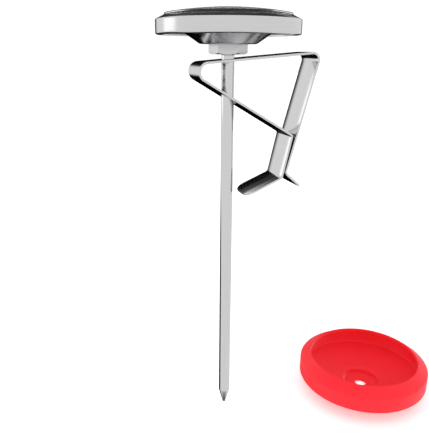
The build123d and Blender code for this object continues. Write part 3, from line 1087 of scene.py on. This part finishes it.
class THERMOMETER_OT_cover(bpy.types.Operator):
    """Silicone cover, lying bowl up"""

    bl_idname = "thermometer.cover"
    bl_label = "Silicone cover"

    def execute(self, context):
        low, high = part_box("silicone_cover")
        middle = (low + high) / 2
        tall = high.z - low.z
        outer = (high.x - low.x) / 2
        seat = outer - 2.0 * MM
        opening = seat - 2.05 * MM
        hole = 2.15 * MM
        recess = 6.4 * MM
        foot = 9.0 * MM
        floor = 1.2 * MM
        step = 3.0 * MM
        ledge = 6.7 * MM
        seat_top = 11.35 * MM
        lip_under = tall - 1.5 * MM
        brim = tall - 2.8 * MM
        waist = brim - 6.0 * MM
        bowl = arc_points((seat, ledge), (recess, step), 0.6 * MM, 16)
        under = arc_points((foot, 0), (outer, waist), -0.9 * MM, 16)
        outline = [(recess, floor), (hole, floor), (hole, 0), *under]
        outline += [(outer, brim), (opening, tall), (opening, lip_under)]
        outline += [(seat, seat_top), *bowl]
        soft = context.scene.thermometer_sizes.cover_round
        cover = turned(
            "silicone_cover_moulded",
            outline,
            [
                (recess, step, soft * 3),
                (recess, floor, soft),
                (hole, floor, soft / 3),
                (hole, 0, soft / 3),
                (foot, 0, soft * 2),
                (outer, waist, soft),
                (outer, brim, soft),
                (opening, tall, soft),
                (opening, lip_under, soft / 2),
                (seat, ledge, soft),
            ],
            steps=192,
        )
        cover.location = (middle.x, middle.y, low.z)
        colours = context.scene.thermometer_colours
        finish_piece(cover, silicone_rubber(colours))
        cover.visible_glossy = False
        fit_piece(cover, "cover", "silicone_red", "silicone_cover")
        return {"FINISHED"}


class THERMOMETER_OT_movement(bpy.types.Operator):
    """Finishes of the coil, the shaft and the other pieces inside"""

    bl_idname = "thermometer.movement"
    bl_label = "Inner pieces"

    def execute(self, context):
        colours = context.scene.thermometer_colours
        use_on_nodes(milled_stainless(colours), "stem_collar", "friction_washer", "lower_dial_ring")
        use_on_nodes(drawn_stainless(colours), "pointer_shaft")
        use_on_nodes(turned_brass(colours), "coil_anchor", "lower_shaft_guide", "upper_shaft_guide")
        use_on_nodes(bimetal_strip(colours), "bimetal_coil")
        return {"FINISHED"}


# ------------------------------------------------------------------ stage

CAMERA_PLACE = (-57.5, -159.4, 128.3)
CAMERA_HEADING = 18.5
CAMERA_DIP = 18.12
CAMERA_ROLL = 0.27


def direction_to(heading, rise):
    """The unit vector at a heading clockwise from +Y and at an angle of rise, in degrees."""
    return Vector(
        (
            sin(radians(heading)) * cos(radians(rise)),
            cos(radians(heading)) * cos(radians(rise)),
            sin(radians(rise)),
        )
    )


def add_softbox(name, heading, rise, distance, size, glow, aim=(0, 0, 0.11)):
    """A softbox round the object, whose face has this brightness and isn't seen by the camera."""
    away = direction_to(heading, rise)
    deselect()
    bpy.ops.object.light_add(type="AREA", location=Vector(aim) + away * distance)
    lamp = named(name)
    lamp.rotation_euler = away.to_track_quat("Z", "Y").to_euler()
    lamp.data.shape = "RECTANGLE"
    lamp.data.size, lamp.data.size_y = size
    lamp.data.energy = glow * pi * size[0] * size[1]
    lamp.visible_camera = False
    return lamp


# What metal sees of the white tent has black flags in it, which give it its dark edges:
# the heading and rise of each flag's middle, its angular radius and softness, and its brightness.
FLAGS = (
    (17, 0, 28, 4, 0.0),
    (17, -14, 25, 4, 0.0),
    (0, 26, 13, 4, 0.07),
    (32, 52, 28, 7, 0.03),
    (-12, -34, 22, 4, 0.02),
    (-35, -38, 22, 4, 0.02),
    (10, -58, 27, 6, 0.03),
    (18, -90, 30, 10, 0.03),
)
TENT_IN_METAL = 0.85
TENT = 1.1


class THERMOMETER_OT_stage(bpy.types.Operator):
    """White studio floor, tent, one softbox and camera"""

    bl_idname = "thermometer.stage"
    bl_label = "Stage"

    def execute(self, context):
        scene = context.scene
        deselect()
        bpy.ops.mesh.primitive_circle_add(vertices=96, radius=3.0, fill_type="NGON")
        floor = named("studio_floor")
        material, tree, shader, place = new_material(
            "Matt white paper",
            {"Specular IOR Level": 0.0, "Emission Color": (1, 1, 1, 1), "Emission Strength": 0.3},
        )
        # The paper's tooth is about 1 mm.
        tooth = noise(tree, place, MM, 2.0)
        white = list(scene.thermometer_colours.floor)
        vary_surface(tree, shader, tooth, (darker(white, 0.99), white), (0.9, 1.0), (0.01, 0.01 * MM))
        finish_piece(floor, material)
        floor.visible_glossy = False

        world = bpy.data.worlds.new("White tent")
        scene.world = world
        world.use_nodes = True
        tree = world.node_tree
        towards = add_node(tree, "ShaderNodeTexCoord").outputs["Generated"]
        seen = TENT_IN_METAL
        for heading, rise, radius, softness, brightness in FLAGS:
            middle = direction_to(heading, rise)
            near = add_node(
                tree, "ShaderNodeVectorMath", {0: towards, 1: middle}, operation="DOT_PRODUCT"
            )
            flag = add_node(
                tree,
                "ShaderNodeMapRange",
                {
                    "Value": near.outputs["Value"],
                    "From Min": cos(radians(radius + softness)),
                    "From Max": cos(radians(radius - softness)),
                    "To Min": 1.0,
                    "To Max": brightness,
                },
                interpolation_type="SMOOTHSTEP",
            )
            seen = add_node(
                tree, "ShaderNodeMath", {0: flag.outputs[0], 1: seen}, operation="MULTIPLY"
            ).outputs[0]
        rays = add_node(tree, "ShaderNodeLightPath").outputs
        mirrored = add_node(
            tree,
            "ShaderNodeMath",
            {0: rays["Is Glossy Ray"], 1: rays["Is Transmission Ray"]},
            operation="SUBTRACT",
            use_clamp=True,
        )
        tent = add_node(
            tree, "ShaderNodeMapRange", {"Value": mirrored.outputs[0], "To Min": TENT, "To Max": seen}
        )
        background = tree.nodes["Background"]
        background.inputs["Color"].default_value = (1, 1, 1, 1)
        tree.links.new(tent.outputs[0], background.inputs["Strength"])

        add_softbox("left_box", -59, 6, 0.9, (0.45, 0.3), 0.6)

        bpy.ops.object.camera_add(location=[length * MM for length in CAMERA_PLACE])
        camera = named("camera")
        turn = (
            Matrix.Rotation(radians(-CAMERA_HEADING), 3, "Z")
            @ Matrix.Rotation(radians(90 - CAMERA_DIP), 3, "X")
            @ Matrix.Rotation(radians(CAMERA_ROLL), 3, "Z")
        )
        camera.rotation_euler = turn.to_euler()
        camera.data.lens = 42.57
        camera.data.sensor_width = 36
        camera.data.clip_start = 0.01
        scene.camera = camera
        scene.view_settings.view_transform = "Standard"
        return {"FINISHED"}


PIECE_OPERATORS = (
    THERMOMETER_OT_stem,
    THERMOMETER_OT_nut,
    THERMOMETER_OT_cup,
    THERMOMETER_OT_bezel,
    THERMOMETER_OT_lens,
    THERMOMETER_OT_dial,
    THERMOMETER_OT_print,
    THERMOMETER_OT_pointer,
    THERMOMETER_OT_clip,
    THERMOMETER_OT_cover,
    THERMOMETER_OT_movement,
    THERMOMETER_OT_stage,
)


class THERMOMETER_PT_builder(bpy.types.Panel):
    """Sizes, colours and one button for each piece"""

    bl_label = "Dial thermometer"
    bl_space_type = "VIEW_3D"
    bl_region_type = "UI"
    bl_category = "Thermometer"

    def draw(self, context):
        layout = self.layout
        for settings in (context.scene.thermometer_sizes, context.scene.thermometer_colours):
            box = layout.box()
            for name in settings.bl_rna.properties.keys():
                if name not in {"rna_type", "name"}:
                    box.prop(settings, name)
        for operator in PIECE_OPERATORS:
            layout.operator(operator.bl_idname)


CLASSES = (ThermometerSizes, ThermometerColours, *PIECE_OPERATORS, THERMOMETER_PT_builder)


def register():
    """Register the add-on's classes and its settings."""
    for kind in CLASSES:
        bpy.utils.register_class(kind)
    bpy.types.Scene.thermometer_sizes = bpy.props.PointerProperty(type=ThermometerSizes)
    bpy.types.Scene.thermometer_colours = bpy.props.PointerProperty(type=ThermometerColours)


def unregister():
    """Take the add-on's settings and classes away."""
    del bpy.types.Scene.thermometer_colours
    del bpy.types.Scene.thermometer_sizes
    for kind in reversed(CLASSES):
        bpy.utils.unregister_class(kind)


def main():
    """Build every piece and the stage."""
    register()
    for operator in PIECE_OPERATORS:
        module, name = operator.bl_idname.split(".")
        getattr(getattr(bpy.ops, module), name)()


if __name__ == "__main__":
    main()
